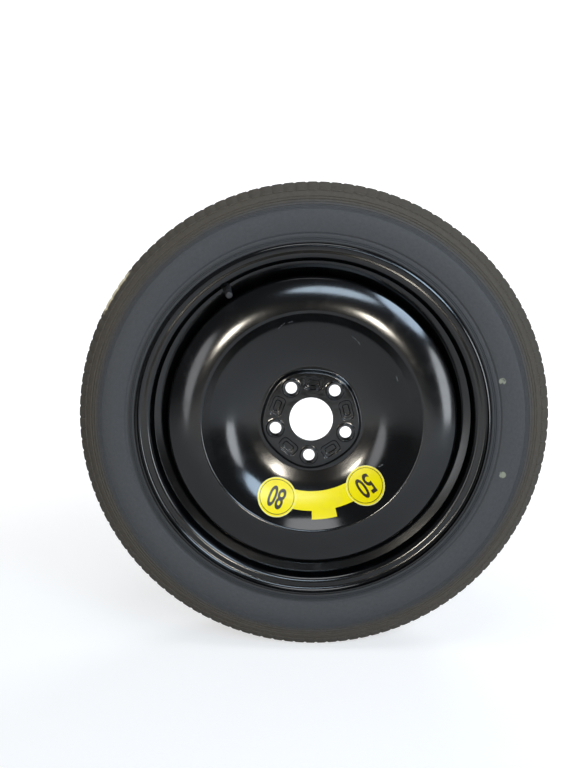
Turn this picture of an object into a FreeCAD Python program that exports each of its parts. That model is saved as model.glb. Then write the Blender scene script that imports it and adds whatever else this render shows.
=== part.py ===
"""Spare wheel: a temporary-use tyre on a welded steel wheel, with its valve and speed label.

Millimetres. The wheel stands upright: the origin is its centre, on the axle line and halfway between
the rim flanges. The axle line is Y, the outer face looks along -Y, and +Z is up. Every section of the
wheel is drawn as (radius, outboard), where outboard is the distance from the middle plane towards -Y.
The valve has the same kind of section in its own frame, measured from the rim face it sits on.
"""

import FreeCAD, Part
import math
import os
import re

import Sketcher

doc = FreeCAD.newDocument("SpareWheel")
sizes = doc.addObject("Spreadsheet::Sheet", "Sizes")

DRIVING_SIZES = [
    # Rim: a four-inch strip for an eighteen-inch tyre
    ("rim_half_width", "50.8", "middle plane to the tyre side of a flange"),
    ("bead_radius", "228.6", "bead seat beside the flange"),
    ("flange_radius", "245.9", "top of the flange"),
    ("flange_bend", "9.5", "bend of the flange outwards"),
    ("flange_width", "13.6", "flange, from its tyre side to the lip corner"),
    ("lip_depth", "4.4", "how far the lip turns back down"),
    ("lip_lean", "1.0", "how far the turned lip leans out"),
    ("lip_bend", "4.2", "bend of the lip"),
    ("seat_bend", "6.5", "bend between flange and bead seat"),
    ("seat_width", "17.5", "bead seat, flange to hump"),
    ("seat_angle", "5", "taper of the bead seat, degrees"),
    ("hump_radius", "230", "top of the safety hump"),
    ("hump_rise", "4", "width of the hump's slope"),
    ("hump_width", "4", "flat top of the hump"),
    ("hump_bend", "4", "bend at the foot and top of the hump"),
    ("ledge_angle", "24", "slope of the ledge that holds the valve, degrees"),
    ("ledge_radius", "216", "inner edge of the ledge"),
    ("ledge_bend", "3.6", "bend between hump and ledge"),
    ("well_radius", "210", "floor of the drop well, tyre side"),
    ("well_front", "5", "outboard edge of the well floor"),
    ("well_back", "-19", "inboard edge of the well floor"),
    ("well_bend", "8", "bends of the drop well"),
    ("rim_sheet", "2.2", "rim strip thickness"),
    # Disc: one pressing
    ("disc_sheet", "4.5", "disc plate thickness"),
    ("hub_bore_radius", "31.7", "hub bore"),
    ("valley_front", "11.5", "front of the ring that bears on the hub"),
    ("pad_rise", "4", "bolt pad above that ring"),
    ("pad_radius", "70", "edge of the bolt pad"),
    ("pad_slope", "3.5", "width of the pad's edge"),
    ("pad_bend", "5.5", "bend at the pad's edge"),
    ("valley_bend", "2.5", "bend at the foot of the pad"),
    ("valley_radius", "78", "outer edge of the bearing ring"),
    ("dish_foot_bend", "12", "bend where the dish starts"),
    ("dish_low_radius", "105", "where the dish's first slope meets its middle slope"),
    ("dish_low_front", "17.2", "outboard place of that meeting"),
    ("dish_high_radius", "135", "where the middle slope meets the last one"),
    ("dish_high_front", "33.9", "outboard place of that meeting"),
    ("dish_bend", "65", "hollow of the dish at both meetings"),
    ("crease_radius", "154.5", "crease between dish and outer band"),
    ("crease_front", "55", "outboard place of the crease"),
    ("crease_bend", "6", "bend of the crease"),
    ("band_radius", "177", "crown of the outer band"),
    ("band_front", "56.6", "outboard place of the crown"),
    ("band_bend", "90", "crown's curve"),
    ("shoulder_radius", "203", "outer shoulder of the disc"),
    ("shoulder_front", "47.1", "outboard place of the shoulder"),
    ("shoulder_bend", "7", "bend of the shoulder"),
    ("skirt_front", "8", "start of the straight skirt"),
    ("skirt_back", "-11.5", "inner end of the skirt"),
    ("skirt_bend", "30", "bend into the straight skirt"),
    ("skirt_clearance", "0.05", "skirt to the rim's well"),
    # Bolt pad
    ("bolt_count", "5", "bolts"),
    ("bolt_circle_radius", "54", "bolt circle"),
    ("bolt_angle", "122.7", "first bolt hole, from +X towards +Z, degrees"),
    ("bolt_hole_radius", "8.5", "bolt hole"),
    ("bolt_seat_angle", "30", "half angle of the conical seat, degrees"),
    ("boss_rise", "2.2", "raised bolt seat above the pad"),
    ("boss_foot_radius", "13.6", "foot of the raised seat"),
    ("boss_top_radius", "12.6", "top of the raised seat"),
    ("bolt_land", "1.2", "straight part of the bolt hole"),
    ("pocket_length", "20", "pressed pocket, across the radius"),
    ("pocket_width", "12", "pressed pocket, along the radius"),
    ("pocket_corner", "4", "corner of the pocket"),
    ("pocket_radius", "53", "middle of the pocket from the axle"),
    ("pocket_wall", "3", "plate around the pocket, at the back"),
    # Weld runs at the back of the skirt
    ("weld_count", "8", "weld runs"),
    ("weld_leg", "4", "leg of the fillet weld"),
    ("weld_span", "26", "each run, degrees"),
    ("weld_clearance", "0.05", "weld metal to the rim in the model"),
    # Tyre
    ("tyre_radius", "330", "tread at the middle plane"),
    ("tread_half_width", "50", "middle plane to the tread's edge"),
    ("crown_drop", "2.6", "fall of the tread at its edge"),
    ("tread_edge_bend", "8", "rounding of the tread's edge"),
    ("centre_rib_half", "9", "half of the middle rib"),
    ("rib_width", "14", "rib between the grooves"),
    ("groove_width", "6", "tread groove"),
    ("groove_depth", "6", "tread groove depth"),
    ("buttress_radius", "309", "foot of the buttress"),
    ("buttress_half_width", "64", "middle plane to that foot"),
    ("buttress_bend", "40", "curve at that foot"),
    ("section_radius", "283", "widest part of the sidewall"),
    ("section_half_width", "68.8", "half of the tyre's width there"),
    ("section_bend", "55", "curve of the sidewall"),
    ("ring_radius", "259.5", "rim ring of the sidewall"),
    ("ring_half_width", "63.2", "middle plane to that ring"),
    ("ring_step", "2", "step at the ring"),
    ("foot_half_width", "62", "middle plane to the tyre's edge on the flange"),
    ("bead_clearance", "0.3", "tyre bead to the rim"),
    ("toe_height", "6", "thickness of the bead's toe"),
    ("liner_bead_radius", "255", "inner face above the bead"),
    ("liner_bead_half", "52", "middle plane to that place"),
    ("liner_side_radius", "290", "inner face of the sidewall"),
    ("liner_side_half", "60", "middle plane to that place"),
    ("liner_shoulder_radius", "314", "inner face at the shoulder"),
    ("liner_shoulder_half", "46", "middle plane to that place"),
    ("liner_crown_radius", "318.5", "inner face under the tread"),
    ("liner_bend", "26", "curves of the inner face"),
    ("notch_count", "64", "shoulder notches around"),
    ("notch_width", "4.6", "shoulder notch"),
    ("notch_reach", "14", "how far a notch goes down from the tread"),
    ("notch_length", "12", "how far a notch goes in from the tread's edge"),
    # Valve
    ("valve_angle", "122.5", "valve, from +X towards +Z, degrees"),
    ("valve_radius", "222.4", "valve hole's centre from the axle"),
    ("valve_hole_radius", "5.75", "valve hole"),
    ("rubber_clearance", "0.05", "rubber to the hole and to the brass"),
    ("rubber_inner_length", "12", "rubber inside the rim"),
    ("rubber_lip_radius", "7.4", "sealing lip inside the rim"),
    ("rubber_lip_depth", "2.6", "depth of the sealing lip"),
    ("rubber_end_radius", "5.2", "inner end of the rubber"),
    ("rubber_shoulder_radius", "6.3", "shoulder outside the rim"),
    ("rubber_shoulder_height", "1.2", "height of that shoulder"),
    ("rubber_length", "17", "rubber outside the rim"),
    ("rubber_tip_radius", "4.9", "outer end of the rubber"),
    ("stem_radius", "2.9", "brass stem inside the rubber"),
    ("thread_radius", "3.85", "threaded end of the stem"),
    ("stem_length", "28.5", "end of the stem from the rim"),
    ("stem_bore_radius", "1.95", "air way of the stem"),
    ("core_bore_radius", "2.5", "threaded bore for the core"),
    ("core_seat_low", "18.5", "foot of the core's seat"),
    ("core_seat_high", "20", "top of the core's seat"),
    ("core_clearance", "0.06", "core to the stem"),
    ("core_plug_low", "22", "underside of the core's threaded plug"),
    ("core_plug_high", "27", "top of that plug"),
    ("core_barrel_radius", "1.75", "core barrel"),
    ("core_barrel_bore", "1.25", "inside of the barrel"),
    ("core_barrel_low", "9", "lower end of the barrel"),
    ("core_floor", "1", "floor of the barrel"),
    ("core_roof", "2", "guide at the top of the plug"),
    ("core_seal_low", "18.9", "underside of the core's sealing ring"),
    ("core_seal_high", "21.6", "top of that ring"),
    ("pin_radius", "0.6", "valve pin"),
    ("pin_clearance", "0.1", "pin to its guides"),
    ("pin_low", "6", "inner end of the pin"),
    ("pin_high", "28", "outer end of the pin"),
    ("pin_collar_radius", "1.1", "collar that the spring pushes"),
    ("pin_collar_low", "20.5", "underside of that collar"),
    ("pin_collar_height", "0.8", "height of that collar"),
    ("pin_cup_radius", "1.55", "cup that carries the pin's seal"),
    ("pin_cup_height", "1.3", "height of that cup"),
    ("pin_seal_radius", "1.6", "rubber ring on the cup"),
    ("pin_seal_height", "1.1", "height of that ring"),
    ("seal_clearance", "0.02", "rings to what they sit on"),
    ("spring_radius", "0.93", "middle of the spring's wire from its axis"),
    ("spring_wire", "0.24", "spring wire"),
    ("spring_turns", "6", "turns of the spring"),
    ("spring_clearance", "0.04", "spring ends to what holds them"),
    ("cap_radius", "5", "valve cap"),
    ("cap_length", "13", "length of the cap"),
    ("cap_roof", "1.3", "end wall of the cap"),
    ("cap_clearance", "0.15", "cap to the stem's thread"),
    ("cap_gap", "0.4", "cap to the rubber"),
    ("cap_edge", "1.2", "rounded end of the cap"),
    # Label
    ("label_gap", "0.05", "film to the paint in the model"),
    ("label_film", "0.25", "thickness of the film"),
    ("label_angle", "-82", "middle of the label, from +X towards +Z, degrees"),
    ("label_half_span", "31.8", "middle of the label to a disc's middle, degrees"),
    ("label_radius", "122.5", "disc's middle from the axle"),
    ("label_disc_radius", "28.5", "round end of the label"),
    ("label_band_inner", "107", "inner edge of the band"),
    ("label_band_outer", "132", "outer edge of the band"),
    ("label_tab_outer", "142", "outer edge of the tab"),
    ("label_tab_half_span", "7.5", "half of the tab, degrees"),
]


def fill_sheet():
    """Write each driving size as one aliased row of the sheet."""
    for row, (alias, number, note) in enumerate(DRIVING_SIZES, start=1):
        sizes.set(f"A{row}", alias)
        sizes.set(f"B{row}", number)
        sizes.set(f"C{row}", note)
        sizes.setAlias(f"B{row}", alias)
    doc.recompute()


fill_sheet()
ALIASES = {alias for alias, _number, _note in DRIVING_SIZES}


def spelled(expression):
    """An expression on bare size names, spelled out with the sheet's name before each."""
    return re.sub(r"[a-z_]+", lambda word: f"Sizes.{word[0]}" if word[0] in ALIASES else word[0], expression)


def value(expression):
    """The number that an expression on size names gives now."""
    return float(sizes.evalExpression(spelled(expression)))


def bind(item, **properties):
    """Tie each named property of an object to an expression on size names."""
    for name, expression in properties.items():
        item.setExpression(name, spelled(expression))


def minus(expression):
    return f"-({expression})"


# Placements
UP_THE_AXLE = FreeCAD.Vector(0, 1, 0)


def turned(angle):
    """A placement turned about the axle, by degrees from +X towards +Z."""
    return FreeCAD.Placement(FreeCAD.Vector(), FreeCAD.Rotation(UP_THE_AXLE, -angle))


def facing_out(angle, radius, outboard):
    """A placement on the wheel: X along the radius, Z straight out of the wheel's face."""
    c = math.cos(math.radians(angle))
    s = math.sin(math.radians(angle))
    along = FreeCAD.Vector(c, 0, s)
    across = FreeCAD.Vector(-s, 0, c)
    out = FreeCAD.Vector(0, -1, 0)
    return FreeCAD.Placement(along * radius + out * outboard, FreeCAD.Rotation(along, across, out, "XYZ"))


# Sketches
def tangent_points(before, corner, after, bend):
    """Where a bend of that radius leaves the two straight runs at a corner, and its centre."""
    back = (before - corner).normalize()
    ahead = (after - corner).normalize()
    half = back.getAngle(ahead) / 2
    reach = bend / math.tan(half)
    centre = corner + (back + ahead).normalize() * (bend / math.sin(half))
    return corner + back * reach, corner + ahead * reach, centre


def fix_point(sketch, geometry, vertex, x, y):
    """Hold a point of the sketch at two expressions from the sketch's origin."""
    for kind, expression in (("DistanceX", x), ("DistanceY", y)):
        held = sketch.addConstraint(Sketcher.Constraint(kind, -1, 1, geometry, vertex, value(expression)))
        sketch.setExpression(f"Constraints[{held}]", spelled(expression))


def draw_section(sketch, corners, closed=True):
    """Draw straight runs through corners (radius, outboard, bend), tied to the sheet.

    A corner with a bend is rounded by an arc tangent to both runs, and a construction point keeps
    the corner itself at its two sizes.
    """
    places = [(radius, minus(outboard)) for radius, outboard, *_bend in corners]
    bends = [corner[2] if len(corner) > 2 else None for corner in corners]
    points = [FreeCAD.Vector(value(x), value(y), 0) for x, y in places]
    count = len(points)
    starts, ends, centres = list(points), list(points), [None] * count
    for i, bend in enumerate(bends):
        if bend:
            ends[i], starts[i], centres[i] = tangent_points(
                points[i - 1], points[i], points[(i + 1) % count], value(bend)
            )
    runs = []
    for i in range(count if closed else count - 1):
        runs.append(sketch.addGeometry(Part.LineSegment(starts[i], ends[(i + 1) % count])))
    for i, (x, y) in enumerate(places):
        before = runs[i - 1] if closed or i > 0 else None
        after = runs[i] if i < len(runs) else None
        if not bends[i]:
            if before is not None and after is not None:
                sketch.addConstraint(Sketcher.Constraint("Coincident", before, 2, after, 1))
            fix_point(sketch, *((after, 1) if after is not None else (before, 2)), x, y)
            continue
        leaving, arriving = ends[i] - centres[i], starts[i] - centres[i]
        left_turn = leaving.cross(arriving).z > 0
        first, last = (leaving, arriving) if left_turn else (arriving, leaving)
        circle = Part.Circle(centres[i], FreeCAD.Vector(0, 0, 1), value(bends[i]))
        begin = math.atan2(first.y, first.x)
        finish = math.atan2(last.y, last.x)
        arc = sketch.addGeometry(Part.ArcOfCircle(circle, begin, finish))
        meets_before, meets_after = (1, 2) if left_turn else (2, 1)
        sketch.addConstraint(Sketcher.Constraint("Tangent", before, 2, arc, meets_before))
        sketch.addConstraint(Sketcher.Constraint("Tangent", after, 1, arc, meets_after))
        bent = sketch.addConstraint(Sketcher.Constraint("Radius", arc, value(bends[i])))
        sketch.setExpression(f"Constraints[{bent}]", spelled(bends[i]))
        corner = sketch.addGeometry(Part.Point(points[i]), True)
        sketch.addConstraint(Sketcher.Constraint("PointOnObject", corner, 1, before))
        sketch.addConstraint(Sketcher.Constraint("PointOnObject", corner, 1, after))
        fix_point(sketch, corner, 1, x, y)


def origin_plane(body, role):
    return next(feature for feature in body.Origin.OriginFeatures if feature.Role == role)


def new_body(label):
    body = doc.addObject("PartDesign::Body", label)
    body.Label = label
    return body


def body_sketch(body, name, plane="XY_Plane"):
    sketch = body.newObject("Sketcher::SketchObject", name)
    sketch.AttachmentSupport = (origin_plane(body, plane), [""])
    sketch.MapMode = "FlatFace"
    return sketch


def turned_body(label, corners):
    """A body turned about its own Y axis from one closed section."""
    body = new_body(label)
    sketch = body_sketch(body, f"{label}_section")
    draw_section(sketch, corners)
    turning = body.newObject("PartDesign::Revolution", f"{label}_turning")
    turning.Profile = sketch
    turning.ReferenceAxis = (sketch, ["V_Axis"])
    turning.Angle = 360
    doc.recompute()
    return body


def free_sketch(name, corners, closed=True):
    sketch = doc.addObject("Sketcher::SketchObject", name)
    draw_section(sketch, corners, closed)
    return sketch


def revolve(name, face, span="360"):
    turning = doc.addObject("Part::Revolution", name)
    turning.Source = face
    turning.Axis = UP_THE_AXLE
    turning.Solid = True
    bind(turning, Angle=span)
    return turning


def sheet_of(name, line, thickness):
    """The section of a plate: a line and the same line set off by the plate's thickness."""
    plate = doc.addObject("Part::Offset2D", name)
    plate.Source = line
    plate.Mode = "Skin"
    plate.Fill = True
    bind(plate, Value=thickness)
    return plate


def joined(name, kind, base, tools):
    """One boolean of a base with several tools, which are grouped first."""
    group = doc.addObject("Part::Compound", f"{name}_tools")
    group.Links = tools
    result = doc.addObject(kind, name)
    result.Base = base
    result.Tool = group
    return result


# Rim
SEAT_END = "(rim_half_width - seat_width)"
SEAT_END_RADIUS = "(bead_radius - seat_width * tan(seat_angle))"
HUMP_START = f"({SEAT_END} - hump_rise)"
LEDGE_TOP = f"({HUMP_START} - hump_width)"
LEDGE_LOW = f"({LEDGE_TOP} - (hump_radius - ledge_radius) * tan(ledge_angle))"
WELL_INSIDE = "(well_radius - rim_sheet)"


def rim_edge(side):
    """Tyre side of one edge of the rim, from its lip to the top of its hump."""
    return [
        ("flange_radius - lip_depth", f"{side} * (rim_half_width + flange_width + lip_lean)"),
        ("flange_radius", f"{side} * (rim_half_width + flange_width)", "lip_bend"),
        ("flange_radius", f"{side} * rim_half_width", "flange_bend"),
        ("bead_radius", f"{side} * rim_half_width", "seat_bend"),
        (SEAT_END_RADIUS, f"{side} * {SEAT_END}", "hump_bend"),
        ("hump_radius", f"{side} * {HUMP_START}", "hump_bend"),
        ("hump_radius", f"{side} * {LEDGE_TOP}", "ledge_bend"),
    ]


RIM_LINE = [
    *rim_edge("1"),
    ("ledge_radius", LEDGE_LOW, "well_bend"),
    ("well_radius", "well_front", "well_bend"),
    ("well_radius", "well_back", "well_bend"),
    *reversed(rim_edge("-1")),
]

# The valve stands square on the rim's ledge
VALVE_BASE = f"({LEDGE_TOP} - (hump_radius - valve_radius) * tan(ledge_angle) + rim_sheet / cos(ledge_angle))"


def valve_placement():
    """The valve's frame: its outboard direction leaves the ledge at a right angle."""
    angle = math.radians(value("valve_angle"))
    radial = FreeCAD.Vector(math.cos(angle), 0, math.sin(angle))
    pivot = FreeCAD.Vector(math.sin(angle), 0, -math.cos(angle))
    base = radial * value("valve_radius") - UP_THE_AXLE * value(VALVE_BASE)
    return FreeCAD.Placement(base, FreeCAD.Rotation(pivot, value("ledge_angle")))


def make_rim():
    """The rolled strip, with the valve hole through its ledge."""
    strip = sheet_of("rim_strip", free_sketch("rim_line", RIM_LINE, closed=False), "-rim_sheet")
    hole = doc.addObject("Part::Cylinder", "valve_hole")
    bind(hole, Radius="valve_hole_radius", Height="4 * rim_sheet")
    through = FreeCAD.Placement(
        FreeCAD.Vector(0, value("2.5 * rim_sheet"), 0), FreeCAD.Rotation(FreeCAD.Vector(1, 0, 0), 90)
    )
    hole.Placement = valve_placement().multiply(through)
    rim = doc.addObject("Part::Cut", "rim")
    rim.Base = revolve("rim_ring", strip)
    rim.Tool = hole
    return rim


# Disc
PAD_FRONT = "(valley_front + pad_rise)"
SKIRT_RADIUS = f"({WELL_INSIDE} - skirt_clearance)"
DISC_LINE = [
    ("hub_bore_radius", PAD_FRONT),
    ("pad_radius", PAD_FRONT, "pad_bend"),
    ("pad_radius + pad_slope", "valley_front", "valley_bend"),
    ("valley_radius", "valley_front", "dish_foot_bend"),
    ("dish_low_radius", "dish_low_front", "dish_bend"),
    ("dish_high_radius", "dish_high_front", "dish_bend"),
    ("crease_radius", "crease_front", "crease_bend"),
    ("band_radius", "band_front", "band_bend"),
    ("shoulder_radius", "shoulder_front", "shoulder_bend"),
    (SKIRT_RADIUS, "skirt_front", "skirt_bend"),
    (SKIRT_RADIUS, "skirt_back"),
]


def rounded_block(name, angle, outboard, radial_size, cross_size, depth, corner):
    """A block on the bolt pad, middle on the pocket radius, its four upright edges rounded."""
    block = doc.addObject("Part::Box", f"{name}_block")
    bind(block, Length=radial_size, Width=cross_size, Height=depth)
    centring = FreeCAD.Placement(
        FreeCAD.Vector(-value(radial_size) / 2, -value(cross_size) / 2, 0), FreeCAD.Rotation()
    )
    block.Placement = facing_out(angle, value("pocket_radius"), value(outboard)).multiply(centring)
    doc.recompute()
    out = FreeCAD.Vector(0, 1, 0)
    upright = [
        i
        for i, edge in enumerate(block.Shape.Edges, start=1)
        if abs(edge.tangentAt(edge.FirstParameter).dot(out)) > 0.99
    ]
    rounded = doc.addObject("Part::Fillet", name)
    rounded.Base = block
    rounded.Edges = [(i, value(corner), value(corner)) for i in upright]
    return rounded


def bolt_angles(step=0.0):
    """The angles of the bolts, or of places a part of a step on from them."""
    pitch = 360 / value("bolt_count")
    return [value("bolt_angle") + pitch * (i + step) for i in range(round(value("bolt_count")))]


def make_disc():
    """The pressing: turned plate, raised bolt seats, pressed pockets, bolt holes."""
    plate = sheet_of("disc_plate", free_sketch("disc_line", DISC_LINE, closed=False), "-disc_sheet")
    bosses, pressings, cuts = [], [], []
    seat_low = f"({PAD_FRONT} - disc_sheet + bolt_land)"
    seat_depth = "(disc_sheet - bolt_land + boss_rise)"
    for i, angle in enumerate(bolt_angles()):
        on_circle = value("bolt_circle_radius")
        boss = doc.addObject("Part::Cone", f"bolt_boss_{i}")
        bind(boss, Radius1="boss_foot_radius", Radius2="boss_top_radius", Height="boss_rise")
        boss.Placement = facing_out(angle, on_circle, value(PAD_FRONT))
        bosses.append(boss)
        hole = doc.addObject("Part::Cylinder", f"bolt_hole_{i}")
        bind(hole, Radius="bolt_hole_radius", Height="2 * disc_sheet")
        hole.Placement = facing_out(angle, on_circle, value(f"{PAD_FRONT} - 2 * disc_sheet"))
        seat = doc.addObject("Part::Cone", f"bolt_seat_{i}")
        bind(
            seat,
            Radius1="bolt_hole_radius",
            Radius2=f"bolt_hole_radius + 2 * {seat_depth} * tan(bolt_seat_angle)",
            Height=f"2 * {seat_depth}",
        )
        seat.Placement = facing_out(angle, on_circle, value(seat_low))
        cuts += [hole, seat]
    for i, angle in enumerate(bolt_angles(step=0.5)):
        pressings.append(
            rounded_block(
                f"pocket_back_{i}",
                angle,
                "valley_front - disc_sheet",
                "pocket_width + 2 * pocket_wall",
                "pocket_length + 2 * pocket_wall",
                "disc_sheet",
                "pocket_corner + pocket_wall",
            )
        )
        cuts.append(
            rounded_block(
                f"pocket_{i}",
                angle,
                "valley_front",
                "pocket_width",
                "pocket_length",
                "2 * pad_rise",
                "pocket_corner",
            )
        )
    raised = joined("disc_raised", "Part::Fuse", revolve("disc_turning", plate), bosses + pressings)
    return joined("wheel_disc", "Part::Cut", raised, cuts)


def make_welds():
    """Fillet weld runs in the corner between the skirt's end and the rim's well."""
    outer = f"({WELL_INSIDE} - weld_clearance)"
    section = [
        (outer, "skirt_back - weld_clearance"),
        (f"{outer} - weld_leg", "skirt_back - weld_clearance"),
        (outer, "skirt_back - weld_clearance - weld_leg"),
    ]
    runs = []
    count = round(value("weld_count"))
    for i in range(count):
        sketch = free_sketch(f"weld_section_{i}", section)
        sketch.Placement = turned(360 / count * i + value("weld_span") / 2)
        sketch_face = doc.addObject("Part::Face", f"weld_face_{i}")
        sketch_face.Sources = [sketch]
        runs.append(revolve(f"weld_run_{i}", sketch_face, "weld_span"))
    welds = doc.addObject("Part::Compound", "disc_welds")
    welds.Links = runs
    return welds


# Tyre
def crown(outboard):
    """Radius of the tread at a distance from the middle plane."""
    return f"(tyre_radius - crown_drop * ({outboard} / tread_half_width) ^ 2)"


def groove(near):
    """The four corners of a tread groove that starts at that distance from the middle plane."""
    far = f"({near} + groove_width)"
    return [
        (crown(near), near),
        (f"{crown(near)} - groove_depth", near),
        (f"{crown(far)} - groove_depth", far),
        (crown(far), far),
    ]


INNER_GROOVE = "centre_rib_half"
OUTER_GROOVE = "(centre_rib_half + groove_width + rib_width)"
TYRE_HALF = [
    ("tyre_radius", "0"),
    *groove(INNER_GROOVE),
    *groove(OUTER_GROOVE),
    (crown("tread_half_width"), "tread_half_width", "tread_edge_bend"),
    ("buttress_radius", "buttress_half_width", "buttress_bend"),
    ("section_radius", "section_half_width", "section_bend"),
    ("ring_radius", "ring_half_width"),
    ("ring_radius - ring_step", "ring_half_width - ring_step"),
    ("flange_radius + bead_clearance", "foot_half_width"),
    ("flange_radius + bead_clearance", "rim_half_width - bead_clearance", "flange_bend + bead_clearance"),
    ("bead_radius + bead_clearance", "rim_half_width - bead_clearance", "seat_bend - bead_clearance"),
    (f"{SEAT_END_RADIUS} + bead_clearance", SEAT_END),
    ("bead_radius + toe_height", SEAT_END),
    ("liner_bead_radius", "liner_bead_half", "liner_bend"),
    ("liner_side_radius", "liner_side_half", "liner_bend"),
    ("liner_shoulder_radius", "liner_shoulder_half", "liner_bend"),
    ("liner_crown_radius", "0"),
]


def make_tyre():
    """Half the tyre's section turned, its shoulder notched around, then mirrored."""
    tyre = turned_body("tyre", TYRE_HALF)
    sketch = body_sketch(tyre, "notch_section")
    notch_low = "tyre_radius - notch_reach"
    notch_near = "tread_half_width - notch_length"
    notch_far = "section_half_width + notch_length"
    notch_high = "tyre_radius + notch_reach"
    draw_section(
        sketch,
        [(notch_low, notch_near), (notch_low, notch_far), (notch_high, notch_far), (notch_high, notch_near)],
    )
    notch = tyre.newObject("PartDesign::Pocket", "notch")
    notch.Profile = sketch
    notch.SideType = "Symmetric"
    bind(notch, Length="notch_width")
    around = tyre.newObject("PartDesign::PolarPattern", "notches")
    around.Originals = [notch]
    around.Axis = (origin_plane(tyre, "Y_Axis"), [""])
    around.Angle = 360
    bind(around, Occurrences="notch_count")
    tyre.Tip = around
    doc.recompute()
    both = tyre.newObject("PartDesign::Mirrored", "both_sides")
    both.TransformMode = "Whole shape"
    both.MirrorPlane = (origin_plane(tyre, "XZ_Plane"), [""])
    tyre.Tip = both
    doc.recompute()
    return tyre


# Valve
RUBBER_INNER_END = "(-rim_sheet - rubber_inner_length)"
RUBBER_BORE = "(stem_radius + rubber_clearance)"
RUBBER_NECK = "(valve_hole_radius - rubber_clearance)"
PIN_GUIDE = "(pin_radius + pin_clearance)"
CORE_PLUG = "(core_bore_radius - core_clearance)"
CORE_ROOF = "(core_plug_high - core_roof)"
CORE_FLOOR = "(core_barrel_low + core_floor)"
SEAT_GROWTH = "((core_bore_radius - stem_bore_radius) / (core_seat_high - core_seat_low))"
CORE_SEAL_LOW_RADIUS = f"(stem_bore_radius + (core_seal_low - core_seat_low) * {SEAT_GROWTH} - core_clearance)"
CORE_SEAL_BORE = "(core_barrel_radius + seal_clearance)"
PIN_SEAL_HIGH = "(core_barrel_low - seal_clearance)"
PIN_SEAL_LOW = f"({PIN_SEAL_HIGH} - pin_seal_height)"
PIN_CUP_HIGH = f"({PIN_SEAL_LOW} - seal_clearance)"
PIN_CUP_LOW = f"({PIN_CUP_HIGH} - pin_cup_height)"
PIN_COLLAR_HIGH = "(pin_collar_low + pin_collar_height)"
STEM_SHOULDER = "(rubber_length + rubber_clearance)"
CAP_LOW = "(rubber_length + cap_gap)"
CAP_HIGH = f"({CAP_LOW} + cap_length)"
CAP_ROOF = f"({CAP_HIGH} - cap_roof)"
CAP_BORE = "(thread_radius + cap_clearance)"

VALVE_SECTIONS = {
    "valve_body": [
        (RUBBER_BORE, RUBBER_INNER_END),
        ("rubber_end_radius", RUBBER_INNER_END),
        ("rubber_lip_radius", "-rim_sheet - rubber_lip_depth"),
        (RUBBER_NECK, "-rim_sheet - 4 * rubber_clearance"),
        (RUBBER_NECK, "rubber_clearance"),
        ("(valve_hole_radius + rubber_shoulder_radius) / 2", "rubber_clearance"),
        ("rubber_shoulder_radius", "rubber_shoulder_height"),
        ("rubber_tip_radius", "rubber_length"),
        (RUBBER_BORE, "rubber_length"),
    ],
    "valve_stem": [
        ("stem_bore_radius", RUBBER_INNER_END),
        ("stem_radius", RUBBER_INNER_END),
        ("stem_radius", STEM_SHOULDER),
        ("thread_radius", STEM_SHOULDER),
        ("thread_radius", "stem_length"),
        ("core_bore_radius", "stem_length"),
        ("core_bore_radius", "core_seat_high"),
        ("stem_bore_radius", "core_seat_low"),
    ],
    "valve_core": [
        (PIN_GUIDE, "core_barrel_low"),
        ("core_barrel_radius", "core_barrel_low"),
        ("core_barrel_radius", "core_plug_low"),
        (CORE_PLUG, "core_plug_low"),
        (CORE_PLUG, "core_plug_high"),
        (PIN_GUIDE, "core_plug_high"),
        (PIN_GUIDE, CORE_ROOF),
        ("core_barrel_bore", CORE_ROOF),
        ("core_barrel_bore", CORE_FLOOR),
        (PIN_GUIDE, CORE_FLOOR),
    ],
    "valve_core_seal": [
        (CORE_SEAL_BORE, "core_seal_low"),
        (CORE_SEAL_LOW_RADIUS, "core_seal_low"),
        (CORE_PLUG, "core_seat_high"),
        (CORE_PLUG, "core_plug_low - seal_clearance"),
        (CORE_SEAL_BORE, "core_plug_low - seal_clearance"),
    ],
    "valve_pin": [
        ("0", "pin_low"),
        ("pin_radius", "pin_low"),
        ("pin_radius", PIN_CUP_LOW),
        ("pin_cup_radius", PIN_CUP_LOW),
        ("pin_cup_radius", PIN_CUP_HIGH),
        ("pin_radius", PIN_CUP_HIGH),
        ("pin_radius", "pin_collar_low"),
        ("pin_collar_radius", "pin_collar_low"),
        ("pin_collar_radius", PIN_COLLAR_HIGH),
        ("pin_radius", PIN_COLLAR_HIGH),
        ("pin_radius", "pin_high"),
        ("0", "pin_high"),
    ],
    "valve_pin_seal": [
        ("pin_radius + seal_clearance", PIN_SEAL_LOW),
        ("pin_seal_radius", PIN_SEAL_LOW),
        ("pin_seal_radius", PIN_SEAL_HIGH),
        ("pin_radius + seal_clearance", PIN_SEAL_HIGH),
    ],
    "valve_cap": [
        (CAP_BORE, CAP_LOW),
        ("cap_radius", CAP_LOW),
        ("cap_radius", CAP_HIGH, "cap_edge"),
        ("0", CAP_HIGH),
        ("0", CAP_ROOF),
        (CAP_BORE, CAP_ROOF),
    ],
}


def make_spring():
    """The pin's spring, a helix of square wire from under the collar to the barrel's floor."""
    spring = new_body("valve_spring")
    high = "(pin_collar_low - spring_clearance)"
    low = f"({CORE_FLOOR} + spring_clearance)"
    inner = "spring_radius - spring_wire / 2"
    outer = "spring_radius + spring_wire / 2"
    sketch = body_sketch(spring, "spring_wire_section")
    draw_section(
        sketch,
        [(inner, high), (outer, high), (outer, f"{high} - spring_wire"), (inner, f"{high} - spring_wire")],
    )
    doc.recompute()
    coil = spring.newObject("PartDesign::AdditiveHelix", "spring_coil")
    coil.Profile = sketch
    coil.ReferenceAxis = (sketch, ["V_Axis"])
    coil.Mode = "height-turns-angle"
    rise = f"({high} - {low} - spring_wire)"
    bind(coil, Height=rise, Turns="spring_turns")
    doc.recompute()
    return spring


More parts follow.
